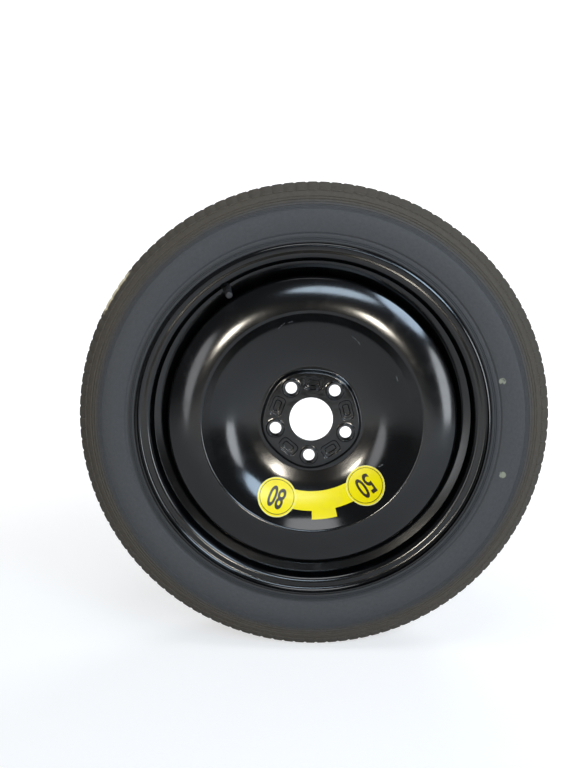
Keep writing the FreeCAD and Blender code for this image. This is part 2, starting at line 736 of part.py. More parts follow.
def make_valve():
    """Every piece of the valve, turned in the valve's frame and set on the rim."""
    pieces = {label: turned_body(label, corners) for label, corners in VALVE_SECTIONS.items()}
    pieces["valve_spring"] = make_spring()
    for piece in pieces.values():
        piece.Placement = valve_placement()
    return pieces


# Label
DISH_LINE = [
    ("valley_radius", "valley_front"),
    ("dish_low_radius", "dish_low_front", "dish_bend"),
    ("dish_high_radius", "dish_high_front", "dish_bend"),
    ("crease_radius", "crease_front"),
]
DISH_GROWTH = "((dish_high_front - dish_low_front) / (dish_high_radius - dish_low_radius))"
LABEL_OUTBOARD = f"(dish_low_front + (label_radius - dish_low_radius) * {DISH_GROWTH})"


def ring_sector(name, inner, outer, half_span):
    """A sector of a ring around the axle, deep enough to cross the dish, in the label's middle."""
    pieces = []
    for place, radius in (("inner", inner), ("outer", outer)):
        piece = doc.addObject("Part::Cylinder", f"{name}_{place}")
        bind(piece, Radius=radius, Height="crease_front", Angle=f"2 * {half_span}")
        piece.Placement = facing_out(value(f"label_angle - {half_span}"), 0, 0)
        pieces.append(piece)
    sector = doc.addObject("Part::Cut", name)
    sector.Tool, sector.Base = pieces
    return sector


def make_label():
    """A film on the dish, cut to two round ends joined by a band with a tab."""
    lift = doc.addObject("Part::Offset2D", "label_back")
    lift.Source = free_sketch("label_line", DISH_LINE, closed=False)
    lift.Mode = "Skin"
    bind(lift, Value="label_gap")
    lift.Source.Placement = turned(value("label_angle + 2 * label_half_span"))
    film = revolve("label_sheet", sheet_of("label_strip", lift, "label_film"), "4 * label_half_span")
    shapes = [
        ring_sector("label_band", "label_band_inner", "label_band_outer", "label_half_span"),
        ring_sector("label_tab", "label_band_inner", "label_tab_outer", "label_tab_half_span"),
    ]
    outboard = value(LABEL_OUTBOARD)
    lean = math.degrees(math.atan(value(DISH_GROWTH)))
    for end, side in (("left", -1), ("right", 1)):
        disc = doc.addObject("Part::Cylinder", f"label_{end}")
        bind(disc, Radius="label_disc_radius", Height="label_disc_radius")
        angle = value("label_angle") + side * value("label_half_span")
        tilt = FreeCAD.Placement(FreeCAD.Vector(), FreeCAD.Rotation(FreeCAD.Vector(0, 1, 0), -lean))
        sink = FreeCAD.Placement(FreeCAD.Vector(0, 0, -value("label_disc_radius") / 2), FreeCAD.Rotation())
        disc.Placement = facing_out(angle, value("label_radius"), outboard).multiply(tilt).multiply(sink)
        shapes.append(disc)
    outline = doc.addObject("Part::MultiFuse", "label_outline")
    outline.Shapes = shapes
    label = doc.addObject("Part::Common", "speed_label")
    label.Base = film
    label.Tool = outline
    return label


# Build, check and write
subparts = {
    "tyre": make_tyre(),
    "rim": make_rim(),
    "wheel_disc": make_disc(),
    "disc_welds": make_welds(),
    **make_valve(),
    "speed_label": make_label(),
}
doc.recompute()

for item in doc.Objects:
    if {"Invalid", "Error"} & set(item.State):
        raise RuntimeError(f"{item.Label} did not build: {item.State}")
for label, item in subparts.items():
    item.Label = label
    if item.Shape.isNull() or not item.Shape.isValid() or not item.Shape.Solids:
        raise RuntimeError(f"{label} is not a valid solid")

os.makedirs("parts", exist_ok=True)
for label, item in subparts.items():
    item.Shape.exportStep(f"parts/{label}.step")
    print(label, len(item.Shape.Solids), "solid", round(item.Shape.Volume / 1000, 3), "cm3")
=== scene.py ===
"""Looks of the spare wheel: a fine tyre, gloss black steel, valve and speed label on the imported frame.

Sizes are in millimetres and become metres through MM. A section is a list of corners (radius, outboard,
bend): outboard is the distance from the wheel's middle plane towards its outer face, which looks along -Y.
Angles about the axle run from +X towards +Z, in degrees.
"""

import math

import bmesh
import bpy
from mathutils import Matrix, Vector
from mathutils.bvhtree import BVHTree


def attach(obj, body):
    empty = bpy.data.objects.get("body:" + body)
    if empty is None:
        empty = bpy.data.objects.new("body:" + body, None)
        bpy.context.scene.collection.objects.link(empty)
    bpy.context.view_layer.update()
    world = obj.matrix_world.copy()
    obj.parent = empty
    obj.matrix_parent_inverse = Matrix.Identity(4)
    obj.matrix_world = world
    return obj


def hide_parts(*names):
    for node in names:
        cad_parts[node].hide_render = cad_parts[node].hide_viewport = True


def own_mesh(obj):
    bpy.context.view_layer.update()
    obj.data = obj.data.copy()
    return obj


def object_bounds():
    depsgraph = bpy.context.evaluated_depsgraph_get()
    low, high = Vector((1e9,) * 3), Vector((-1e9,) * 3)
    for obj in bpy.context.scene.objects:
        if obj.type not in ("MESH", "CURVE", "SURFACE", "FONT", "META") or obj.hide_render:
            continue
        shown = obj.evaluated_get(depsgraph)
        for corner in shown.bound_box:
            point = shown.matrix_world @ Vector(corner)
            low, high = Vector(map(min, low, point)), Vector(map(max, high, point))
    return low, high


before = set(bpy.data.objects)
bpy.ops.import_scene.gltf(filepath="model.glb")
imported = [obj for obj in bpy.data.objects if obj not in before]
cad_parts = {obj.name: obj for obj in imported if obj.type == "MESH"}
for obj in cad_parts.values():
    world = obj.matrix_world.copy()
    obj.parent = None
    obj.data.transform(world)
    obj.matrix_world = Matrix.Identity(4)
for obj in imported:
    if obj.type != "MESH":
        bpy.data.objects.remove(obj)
cad_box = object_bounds()

MM = 0.001
AXLE = Vector((0, 1, 0))
SHARP_EDGE = math.radians(38)


# Shader maths
class Shade:
    """A socket of a material's nodes: arithmetic on it adds Math nodes, and node() adds any other."""

    def __init__(self, tree, socket=None):
        self.tree = tree
        self.socket = socket

    def node(self, kind, settings, inputs, output=0):
        """Add a node, set it, fill its sockets with values or links, and return one output."""
        made = self.tree.nodes.new(kind)
        for name, setting in settings.items():
            setattr(made, name, setting)
        for key, given in inputs.items():
            if isinstance(given, Shade):
                self.tree.links.new(given.socket, made.inputs[key])
            else:
                made.inputs[key].default_value = given
        return Shade(self.tree, made.outputs[output] if made.outputs else None)

    def math(self, operation, first, second=0.0):
        return self.node("ShaderNodeMath", {"operation": operation}, {0: first, 1: second})

    def __add__(self, other):
        return self.math("ADD", self, other)

    __radd__ = __add__

    def __sub__(self, other):
        return self.math("SUBTRACT", self, other)

    def __rsub__(self, other):
        return self.math("SUBTRACT", other, self)

    def __mul__(self, other):
        return self.math("MULTIPLY", self, other)

    __rmul__ = __mul__

    def ramp(self, low, high):
        """A smooth step from 0 at low to 1 at high."""
        return self.node(
            "ShaderNodeMapRange", {"interpolation_type": "SMOOTHSTEP"}, {0: self, 1: low, 2: high}
        )

    def within(self, low, high, edge):
        """1 between two values, fading over an edge outside them."""
        return self.ramp(low - edge, low) * (1 - self.ramp(high, high + edge))

    def tint(self, first, second):
        """Mix two colours, by this value."""
        return self.node("ShaderNodeMix", {"data_type": "RGBA"}, {0: self, 6: first, 7: second}, 2)


def colour(red, green, blue):
    return (red, green, blue, 1.0)


def new_material(name):
    """An empty material, and the start of its shader maths."""
    material = bpy.data.materials.new(name)
    material.use_nodes = True
    material.node_tree.nodes.clear()
    return material, Shade(material.node_tree)


def surface(start, inputs):
    """Close a material with one Principled shader."""
    shader = start.node("ShaderNodeBsdfPrincipled", {}, inputs)
    start.node("ShaderNodeOutputMaterial", {}, {0: shader})


def object_place(start):
    """Object coordinates, in metres."""
    return start.node("ShaderNodeTexCoord", {}, {}, "Object")


def wheel_axes(start, place):
    """The x, outboard and z of a place."""
    x, y, z = (start.node("ShaderNodeSeparateXYZ", {}, {0: place}, axis) for axis in range(3))
    return x, 0 - y, z


def joined(masks):
    """Several masks as one."""
    total = masks[0]
    for mask in masks[1:]:
        total = total + mask
    return total


def noise(start, place, scale, detail=3.0, roughness=0.5):
    return start.node(
        "ShaderNodeTexNoise", {}, {"Vector": place, "Scale": scale, "Detail": detail, "Roughness": roughness}
    )


def bump(start, height, distance, strength=1.0):
    return start.node(
        "ShaderNodeBump", {}, {"Height": height, "Distance": distance, "Strength": strength}
    )


def span(start, x, z):
    """Distance from the axle, of two coordinates."""
    return start.math("SQRT", x * x + z * z)


# Finishes
SCUFFS = [
    # x, z, length, turn in degrees: marks in the paint of the dish, millimetres
    (-42, 136, 16, 40),
    (-30, 141, 9, 15),
    (60, 118, 12, -35),
    (66, 112, 8, -60),
    (120, 62, 10, -70),
    (101, -66, 9, 35),
]


def scuff_mask(start, x, z):
    """Short thin marks at their places on the disc."""
    marks = []
    for mark_x, mark_z, length, turn in SCUFFS:
        c, s = math.cos(math.radians(turn)), math.sin(math.radians(turn))
        across, up = x - mark_x * MM, z - mark_z * MM
        along = start.math("ABSOLUTE", across * c + up * s)
        beside = start.math("ABSOLUTE", up * c - across * s)
        short = 1 - along.ramp(0.3 * length * MM, 0.5 * length * MM)
        thin = 1 - beside.ramp(0.3 * MM, 1.0 * MM)
        marks.append(short * thin)
    return joined(marks)


def black_paint():
    """Gloss black paint on pressed steel: a faint orange peel, a film of dust, a few scuffs."""
    material, start = new_material("black_paint")
    place = object_place(start)
    x, _outboard, z = wheel_axes(start, place)
    peel = noise(start, place, 420, 2.0)
    pad = 1 - span(start, x, z).ramp(0.064, 0.069)
    lumps = pad * noise(start, place, 150, 1.0)
    dust = noise(start, place, 26, 5.0, 0.62).ramp(0.5, 0.72)
    specks = noise(start, place, 700, 2.0).ramp(0.71, 0.76)
    scuffs = scuff_mask(start, x, z) * noise(start, place, 520, 3.0).ramp(0.42, 0.55)
    dusty = dust.tint(colour(0.0014, 0.0016, 0.002), colour(0.0034, 0.0036, 0.004))
    specked = (specks * 0.4).tint(dusty, colour(0.05, 0.05, 0.05))
    scuffed = (scuffs * 0.6).tint(specked, colour(0.16, 0.17, 0.18))
    surface(
        start,
        {
            "Base Color": scuffed,
            "Roughness": 0.135 + 0.06 * dust + 0.25 * scuffs,
            "IOR": 1.62,
            "Normal": bump(start, peel + 16 * lumps, 0.00003, 0.5),
        },
    )
    return material


def tyre_rubber():
    """Black rubber gone grey: bluish on the sidewall with streaks partly of painted sheen, brown with dust
    on shoulder and tread, and painted shade by the rim flange.
    """
    material, start = new_material("tyre_rubber")
    place = object_place(start)
    x, outboard, z = wheel_axes(start, place)
    radius = span(start, x, z)
    turn = start.math("ARCTAN2", z, x)
    around = start.node("ShaderNodeCombineXYZ", {}, {0: radius * 6.0, 1: turn, 2: outboard * 6.0})
    # Streaks in the rubber's colour: partly its grain, partly a painted sheen; they also give the bump.
    streaks_and_sheen = noise(start, around, 55, 4.0, 0.6)
    cloud = noise(start, place, 9, 4.0, 0.6)
    grain = noise(start, place, 900, 2.0)
    shoulder = (radius + 0.006 * (cloud - 0.5)).ramp(0.289, 0.305)
    # Painted shade: the rubber turns near black where it meets the rim flange.
    flange_shade = 1 - radius.ramp(0.2545, 0.258)
    side = streaks_and_sheen.tint(colour(0.026, 0.028, 0.032), colour(0.056, 0.058, 0.063))
    dust = streaks_and_sheen.tint(colour(0.044, 0.036, 0.026), colour(0.096, 0.078, 0.056))
    worn = (shoulder * (0.62 + 0.38 * cloud)).tint(side, dust)
    flange_shaded = (0.75 * flange_shade).tint(worn, colour(0.021, 0.023, 0.026))
    scrape = (
        turn.within(math.radians(141), math.radians(151), math.radians(1.5))
        * radius.within(0.3235, 0.34, 0.002)
        * outboard.within(0.03, 0.052, 0.004)
        * noise(start, place, 60, 3.0).ramp(0.36, 0.46)
    )
    scraped = scrape.tint(flange_shaded, colour(0.72, 0.63, 0.45))
    dots = []
    for dot_x, dot_z in PAINT_DOTS:
        off = span(start, x - dot_x * MM, z - dot_z * MM)
        dots.append((1 - off.ramp(3.6 * MM, 5.2 * MM)) * outboard.ramp(0.05, 0.055))
    worn_dots = joined(dots) * noise(start, place, 240, 3.0).ramp(0.3, 0.5)
    marked = worn_dots.tint(scraped, colour(0.24, 0.25, 0.19))
    surface(
        start,
        {
            "Base Color": marked,
            "Roughness": 0.62 + 0.16 * shoulder,
            "Normal": bump(start, grain + 0.5 * streaks_and_sheen, 0.00018, 0.5),
        },
    )
    return material


def plain_finish(name, base, shade, roughness, grain, metallic=0.0):
    """A fine-grained finish for a small piece, between two shades."""
    material, start = new_material(name)
    place = object_place(start)
    mottle = noise(start, place, grain, 3.0)
    surface(
        start,
        {
            "Base Color": mottle.tint(base, shade),
            "Roughness": roughness + 0.15 * (mottle - 0.5),
            "Metallic": metallic,
            "Normal": bump(start, mottle, 0.00004, 0.4),
        },
    )
    return material


def label_finish(name, base, shade):
    """Printed film with a satin gloss, faintly soiled."""
    material, start = new_material(name)
    place = object_place(start)
    soil = noise(start, place, 60, 4.0).ramp(0.45, 0.75)
    surface(
        start,
        {
            "Base Color": (0.5 * soil).tint(base, shade),
            "Roughness": 0.28 + 0.15 * soil,
            "Normal": bump(start, noise(start, place, 350, 2.0), 0.00002, 0.4),
        },
    )
    return material


# Paint dots of the tyre's sidewall: x and z in millimetres
PAINT_DOTS = [(256.8, 62.0), (262.1, -67.1)]

PAINT = black_paint()
RUBBER = tyre_rubber()
VALVE_RUBBER = plain_finish("valve_rubber", colour(0.014, 0.014, 0.015), colour(0.03, 0.03, 0.03), 0.5, 500)
SEAL = plain_finish("valve_seal", colour(0.03, 0.03, 0.03), colour(0.05, 0.05, 0.05), 0.6, 800)
BRASS = plain_finish("valve_brass", colour(0.62, 0.44, 0.18), colour(0.5, 0.34, 0.13), 0.3, 600, 1.0)
STEEL = plain_finish("spring_wire", colour(0.5, 0.5, 0.5), colour(0.4, 0.4, 0.4), 0.3, 900, 1.0)
CAP_PLASTIC = plain_finish("cap_plastic", colour(0.02, 0.02, 0.021), colour(0.04, 0.04, 0.041), 0.42, 700)
YELLOW = label_finish("label_yellow", colour(0.95, 0.79, 0.0), colour(0.85, 0.68, 0.01))
PALE = label_finish("label_border", colour(0.90, 0.84, 0.32), colour(0.82, 0.75, 0.25))
PRINT = label_finish("label_print", colour(0.035, 0.025, 0.012), colour(0.06, 0.045, 0.02))


# Meshes
def on_wheel(angle, radius, outboard):
    """A place on the wheel, in metres."""
    turn = math.radians(angle)
    return Vector((radius * math.cos(turn), -outboard, radius * math.sin(turn))) * MM


def round_corner(bm, corner, bend):
    """Round one corner of a wire with an arc of about that radius."""
    back, ahead = (edge.other_vert(corner).co - corner.co for edge in corner.link_edges)
    turn = math.pi - back.angle(ahead)
    pieces = min(7, math.degrees(turn) / 6, 2 * bend * turn)
    bmesh.ops.bevel(
        bm,
        geom=[corner],
        offset=bend * MM * math.tan(turn / 2),
        offset_type="OFFSET",
        segments=max(2, math.ceil(pieces)),
        profile=0.5,
        affect="VERTICES",
        material=-1,
    )


def wire(bm, corners, closed=False):
    """Draw a section as a wire beside the axle, and round its corners. Returns its geometry."""
    old = set(bm.verts)
    line = [bm.verts.new(Vector((r, -u, 0)) * MM) for r, u, *_ in corners]
    for pair in zip(line, line[1:] + line[:1] if closed else line[1:]):
        bm.edges.new(pair)
    for corner, (_r, _u, *bend) in zip(line, corners):
        if bend:
            round_corner(bm, corner, bend[0])
    verts = [vert for vert in bm.verts if vert not in old]
    edges = list({edge for vert in verts for edge in vert.link_edges})
    return verts + edges


def spin(bm, geometry, steps, angle):
    """Turn a wire about the axle, over an angle."""
    bmesh.ops.spin(
        bm,
        geom=geometry,
        cent=(0, 0, 0),
        axis=AXLE,
        dvec=(0, 0, 0),
        angle=angle,
        steps=steps,
        use_merge=False,
        use_duplicate=False,
    )


def double_round(bm, share, doublings):
    """Repeat a share of a turned piece around the axle: each doubling joins a turned copy of it all."""
    copy = bpy.data.meshes.new("turned_copy")
    for i in range(doublings):
        bm.to_mesh(copy)
        copy.transform(Matrix.Rotation(share * 2**i, 4, AXLE))
        bm.from_mesh(copy)
    bpy.data.meshes.remove(copy)


def lathe(bm, geometry, arc_steps, doublings):
    """Turn a wire, the only geometry there is, fully about the axle."""
    share = math.tau / 2**doublings
    spin(bm, geometry, arc_steps, share)
    double_round(bm, share, doublings)


def fuse(bm):
    """Merge doubles and turn all faces outwards."""
    bmesh.ops.remove_doubles(bm, verts=bm.verts, dist=2e-6)
    bmesh.ops.recalc_face_normals(bm, faces=bm.faces)


def new_piece(bm, name, materials, body, slot, *nodes, flats=True):
    """Make a finished piece of a mesh, on its body, in place of its CAD nodes."""
    for face in bm.faces:
        face.smooth = True
    for edge in bm.edges:
        edge.smooth = len(edge.link_faces) == 2 and edge.calc_face_angle() < SHARP_EDGE
    mesh = bpy.data.meshes.new(name)
    bm.to_mesh(mesh)
    bm.free()
    piece = bpy.data.objects.new(name, mesh)
    bpy.context.collection.objects.link(piece)
    for material in materials:
        mesh.materials.append(material)
    if flats:
        weighted = piece.modifiers.new("flats_keep_their_shade", "WEIGHTED_NORMAL")
        weighted.keep_sharp = True
    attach(piece, body)
    if nodes:
        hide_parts(*nodes)
    return piece


def face_front(bm):
    """Turn every face of a thin sheet to the outer side of the wheel."""
    bmesh.ops.recalc_face_normals(bm, faces=bm.faces)
    for face in bm.faces:
        if face.normal.y > 0:
            face.normal_flip()


def thicken(piece, name, thickness):
    """Give a sheet a thickness behind its front."""
    thick = piece.modifiers.new(name, "SOLIDIFY")
    thick.thickness = thickness * MM
    thick.offset = -1


def mirrored(corners):
    """A section's corners on the other side of the wheel, in reverse."""
    return [(radius, -outboard, *bend) for radius, outboard, *bend in reversed(corners)]


def smooth_step(value, low, high):
    """0 below low, 1 above high, smooth between."""
    t = min(1.0, max(0.0, (value - low) / (high - low)))
    return t * t * (3 - 2 * t)


# Wheel disc
BOLT_ANGLE = 122.7
BOLT_CIRCLE = 54.0
HUB_BORE = 31.7
PAD_FRONT = 15.5
PAD_BACK = 11.0
PAD_LOBE = 1.3
PAD_CUTS = 50
BOLTS = 5
BOLT_OPENING = 11.0
DISC_SHEET = 4.5
DISC_LINE = [
    (HUB_BORE, 14.7),
    (32.5, PAD_FRONT, 0.8),
    (69.5, PAD_FRONT, 3.0),
    (73.3, 11.5, 2.5),
    (78, 11.5, 12),
    (105, 17.2, 92),
    (135, 33.9, 92),
    (154.5, 55, 5.5),
    (177, 56.6, 90),
    (203, 47.1, 6),
    (207.6, 8, 30),
    (207.6, -11.5),
]
POCKET_MIDDLE = 53.0
POCKET_STEPS = [
    # half length across the radius, half width along it, corner, depth, width of the wall
    (14.5, 10.0, 7.0, 1.7, 1.6),
    (9.0, 5.2, 3.6, 2.1, 1.8),
]
BOSS_SECTION = [
    (8.5, PAD_BACK - 0.05, 0.3),
    (8.5, 12.2, 0.3),
    (11.4, 17.7, 0.5),
    (12.6, 17.7, 0.9),
    (13.6, 15.7, 1.0),
    (15.8, 15.44),
    (15.8, PAD_BACK - 0.05),
]


def bolt_lobes(angle):
    """1 over a bolt, -1 midway between two."""
    return math.cos(BOLTS * (angle - math.radians(BOLT_ANGLE)))


def press_pad(bm):
    """Press the lobed edge of the bolt pad and the stepped pockets between its bolts."""
    for vert in bm.verts:
        radius = math.hypot(vert.co.x, vert.co.z) / MM
        if radius > 82:
            continue
        angle = math.atan2(vert.co.z, vert.co.x)
        at_edge = smooth_step(radius, 58, 68) * (1 - smooth_step(radius, 73.5, 77.5))
        lobe = PAD_LOBE * bolt_lobes(angle) * at_edge
        pressed = 0.0
        for i in range(BOLTS):
            off = angle - math.radians(BOLT_ANGLE + 360 / BOLTS * (i + 0.5))
            if math.cos(off) < 0.8:
                continue
            across = abs(radius * math.sin(off))
            along = abs(radius * math.cos(off) - POCKET_MIDDLE)
            for half_length, half_width, corner, depth, wall in POCKET_STEPS:
                beyond = math.hypot(
                    max(0.0, across - half_length + corner), max(0.0, along - half_width + corner)
                )
                pressed += depth * (1 - smooth_step(beyond - corner, -wall, 0.0))
        scale = (radius + lobe) / radius
        vert.co = (vert.co.x * scale, vert.co.y + pressed * MM, vert.co.z * scale)


def bolt_places():
    """Middles of the bolt holes, in millimetres."""
    return [on_wheel(BOLT_ANGLE + 360 / BOLTS * i, BOLT_CIRCLE, 0) / MM for i in range(BOLTS)]


def bolt_seat():
    """A raised bolt seat, turned about the axle."""
    bm = bmesh.new()
    lathe(bm, wire(bm, BOSS_SECTION, closed=True), 9, 3)
    fuse(bm)
    seat = bpy.data.meshes.new("bolt_seat")
    bm.to_mesh(seat)
    bm.free()
    return seat


def make_disc():
    """Spin the front of the pressing, press the pad, open the bolt holes, thicken it, add bolt seats."""
    bm = bmesh.new()
    wire(bm, DISC_LINE)
    inner = [edge for edge in bm.edges if all(vert.co.x < 69 * MM for vert in edge.verts)]
    pad_run = [edge for edge in inner if edge.calc_length() > 20 * MM]
    bmesh.ops.subdivide_edges(bm, edges=pad_run, cuts=PAD_CUTS)
    lathe(bm, bm.verts[:] + bm.edges[:], 12, 5)
    fuse(bm)
    press_pad(bm)
    opened = []
    for face in bm.faces:
        middle = face.calc_center_median() / MM
        if math.hypot(middle.x, middle.z) < BOLT_CIRCLE + 14:
            off = min(math.hypot(middle.x - p.x, middle.z - p.z) for p in bolt_places())
            if off < BOLT_OPENING:
                opened.append(face)
    bmesh.ops.delete(bm, geom=opened, context="FACES")
    outward = sum(face.normal.y * face.calc_area() for face in bm.faces)
    if outward > 0:
        bmesh.ops.reverse_faces(bm, faces=bm.faces)
    bm.normal_update()
    bmesh.ops.solidify(bm, geom=bm.faces[:], thickness=DISC_SHEET * MM)
    seat = bolt_seat()
    for p in bolt_places():
        seat.transform(Matrix.Translation(p * MM))
        bm.from_mesh(seat)
        seat.transform(Matrix.Translation(p * -MM))
    bmesh.ops.recalc_face_normals(bm, faces=bm.faces)
    return new_piece(bm, "wheel_disc_pressing", [PAINT], "wheel", "black_paint", "wheel_disc")


# Rim
RIM_SHEET = 2.2
RIM_EDGE = [
    (241.5, 65.4),
    (245.9, 64.4, 4.2),
    (245.9, 50.8, 9.5),
    (228.6, 50.8, 6.5),
    (227.07, 33.3, 4),
    (230, 29.3, 4),
    (230, 25.3, 3.6),
]
RIM_LINE = [
    *RIM_EDGE,
    (216, 19.07, 8),
    (210, 5, 8),
    (210, -19, 8),
    *mirrored(RIM_EDGE),
]


def make_rim():
    """Spin the rolled strip's tyre side and thicken it towards the hub."""
    bm = bmesh.new()
    lathe(bm, wire(bm, RIM_LINE), 8, 5)
    fuse(bm)
    towards_hub = sum(face.normal.dot(face.calc_center_median()) * face.calc_area() for face in bm.faces)
    if towards_hub < 0:
        bmesh.ops.reverse_faces(bm, faces=bm.faces)
    bm.normal_update()
    bmesh.ops.solidify(bm, geom=bm.faces[:], thickness=RIM_SHEET * MM)
    fuse(bm)
    new_piece(bm, "rim_strip", [PAINT], "wheel", "black_paint", "rim")


# Tyre
TREAD_CROWN = 330.0
CROWN_DROP = 2.6
TREAD_EDGE = 327.4
TREAD_HALF = 50.0
NOTCHES = 128
NOTCH_STEPS = 3
NOTCH_FOOT = 313
NOTCH_START = 41
NOTCH_WALL = 2.0
NOTCH_DEPTH = 1.0


def ridge(radius, outboard, height, width):
    """A fine raised ring of the sidewall, from its outer to its inner foot."""
    return [
        (radius + 0.5 * width, outboard),
        (radius + 0.2 * width, outboard + height),
        (radius - 0.2 * width, outboard + height),
        (radius - 0.5 * width, outboard),
    ]


def groove(near, far, depth):
    """A groove around the tread, from its near to its far edge."""
    near_top, far_top = (TREAD_CROWN - CROWN_DROP * (u / TREAD_HALF) ** 2 for u in (near, far))
    return [
        (near_top, near, 0.6),
        (near_top - depth, near + 0.4),
        (far_top - depth, far - 0.4),
        (far_top, far, 0.6),
    ]


TYRE_SIDE = [
    *groove(9, 15, 6),
    *groove(29, 35, 6),
    (328.4, 40),
    (TREAD_EDGE, TREAD_HALF, 7),
    (316, 59.2),
    *ridge(314.5, 60.2, 0.5, 2.2),
    (312.4, 61.5),
    (308.7, 63.15),
    *ridge(306.2, 64.0, 0.5, 2.0),
    (304.6, 64.5),
    *ridge(302.6, 65.05, 0.6, 1.8),
    (300.6, 65.54),
    *ridge(298.8, 65.9, 0.45, 1.6),
    (296.5, 66.3),
    *ridge(295.2, 66.5, 0.45, 1.4),
    *ridge(293.2, 66.85, 0.35, 1.2),
    *ridge(291.4, 67.1, 0.35, 1.2),
    *ridge(289.6, 67.3, 0.35, 1.2),
    (288, 67.42),
    (283, 67.58),
    (277.3, 67.1),
    (271.7, 66.1),
    (265.6, 64.65),
    (260.0, 63.3, 0.6),
    (258.0, 61.5, 0.8),
    (254.6, 61.4),
    *ridge(252.9, 61.5, 0.7, 1.7),
    *ridge(250.6, 61.6, 0.7, 1.7),
    (248.4, 61.8, 0.8),
    (246.3, 61.2, 0.8),
    (246.2, 50.5, 9.8),
    (228.9, 50.5, 6.2),
    (227.37, 33.3),
    (234.6, 33.3),
    (255, 52),
    (290, 60),
    (314, 46),
]


def make_tyre():
    """Spin one notch's share of the tyre, press its two shoulder notches, and repeat it around."""
    bm = bmesh.new()
    share = math.tau / NOTCHES
    spin(bm, wire(bm, [*TYRE_SIDE, *mirrored(TYRE_SIDE)], closed=True), NOTCH_STEPS, share)
    bmesh.ops.remove_doubles(bm, verts=bm.verts, dist=1e-7)
    bmesh.ops.recalc_face_normals(bm, faces=bm.faces)
    step = share / NOTCH_STEPS
    middles = []
    for face in bm.faces:
        middle = face.calc_center_median()
        turn = abs(math.atan2(middle.z, middle.x))
        radius, outboard = math.hypot(middle.x, middle.z) / MM, abs(middle.y) / MM
        if abs(turn - share / 2) < step / 4 and NOTCH_FOOT < radius and NOTCH_START < outboard:
            middles.append((face, middle.y))
    outward = sum(face.normal.dot(face.calc_center_median()) for face, _y in middles)
    if outward < 0:
        bmesh.ops.reverse_faces(bm, faces=bm.faces)
    for side in (-1, 1):
        notch = [face for face, y in middles if y * side > 0]
        bmesh.ops.inset_region(
            bm,
            faces=notch,
            thickness=NOTCH_WALL * MM,
            depth=-NOTCH_DEPTH * MM,
            use_boundary=True,
            use_even_offset=True,
        )
    double_round(bm, share, round(math.log2(NOTCHES)))
    bmesh.ops.remove_doubles(bm, verts=bm.verts, dist=4e-6)
    new_piece(bm, "tyre_rubber_body", [RUBBER], "wheel", "tyre_rubber", "tyre", flats=False)


# Valve
VALVE_ANGLE = 122.5
VALVE_LEAN = 24.0
VALVE_RADIUS = 222.4
VALVE_OUTBOARD = 24.324
VALVE_BODY = [
    (2.95, -14.2),
    (5.2, -14.2, 0.6),
    (7.4, -4.8, 0.6),
    (5.7, -2.4),
    (5.7, 0.05),
    (6.0, 0.05),
    (6.3, 1.2, 0.3),
    (5.7, 3.0, 1.0),
    (5.35, 9.0, 2.0),
    (4.9, 17.0, 0.5),
    (2.95, 17.0),
]
CAP_OUTSIDE = [
    (4.0, 17.4),
    (4.8, 17.4, 0.3),
    (5.0, 18.2, 0.3),
    (5.0, 29.2, 0.8),
    (3.9, 30.4, 0.8),
    (0.0, 30.4),
]
CAP_INSIDE = [(0.0, 29.1), (4.0, 29.1)]
CAP_RIBS = 32
CAP_RIB_HOLLOW = 0.955


def valve_frame():
    """Place of the valve: its own outboard direction leaves the rim's ledge at a right angle."""
    turn = math.radians(VALVE_ANGLE)
    pivot = Vector((math.sin(turn), 0, -math.cos(turn)))
    base = on_wheel(VALVE_ANGLE, VALVE_RADIUS, VALVE_OUTBOARD)
    return Matrix.Translation(base) @ Matrix.Rotation(math.radians(VALVE_LEAN), 4, pivot)


def make_valve():
    """Spin the rubber body, and the cap with its gripping ribs."""
    bm = bmesh.new()
    lathe(bm, wire(bm, VALVE_BODY, closed=True), 8, 3)
    fuse(bm)
    bmesh.ops.transform(bm, matrix=valve_frame(), verts=bm.verts)
    new_piece(bm, "valve_rubber_body", [VALVE_RUBBER], "wheel", "valve_rubber", "valve_body")
    bm = bmesh.new()
    wire(bm, [*CAP_OUTSIDE, *CAP_INSIDE], closed=True)
    axis_edge = [e for e in bm.edges if all(abs(v.co.x) < 1e-7 for v in e.verts)]
    bmesh.ops.delete(bm, geom=axis_edge, context="EDGES")
    lathe(bm, bm.verts[:] + bm.edges[:], CAP_RIBS // 4, 3)
    fuse(bm)
    for vert in bm.verts:
        radius = math.hypot(vert.co.x, vert.co.z)
        around = round(math.atan2(vert.co.z, vert.co.x) / math.pi * CAP_RIBS)
        if radius > 4.9 * MM and around % 2:
            vert.co.x *= CAP_RIB_HOLLOW
            vert.co.z *= CAP_RIB_HOLLOW
    bmesh.ops.transform(bm, matrix=valve_frame(), verts=bm.verts)
    new_piece(bm, "valve_cap_ribbed", [CAP_PLASTIC], "valve_cap", "cap_plastic", "valve_cap", flats=False)


def fit_spring():
    """Give the spring inside the valve a mesh of its own."""
    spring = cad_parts["valve_spring"]
    axis = valve_frame().to_3x3() @ AXLE * -1
    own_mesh(spring)


# Speed label
LABEL_ANGLE = -82.0
LABEL_HALF_SPAN = 31.8
LABEL_RADIUS = 122.5
LABEL_DISC = 28.5
LABEL_LEAN = math.radians(29.1)
LABEL_BAND = (107.0, 132.0)
LABEL_TAB = (130.5, 142.0)
LABEL_TAB_HALF = 7.5
DIGIT_SIZE = 42.0
DIGIT_NARROWING = 0.58
DIGIT_BOLDNESS = 0.9
DIGIT_SLICE = 1.7
END_RINGS = [
    # width, and the finish: 0 film, 1 pale border, 2 print
    (0.9, 1),
    (1.9, 0),
    (0.8, 2),
    *([(2.5, 0)] * 9),
]
INK = 0.05
FILM = 0.22
FILM_LIFT = 0.30
BAND_LIFT = 0.25
PRINT_LIFT = 0.42


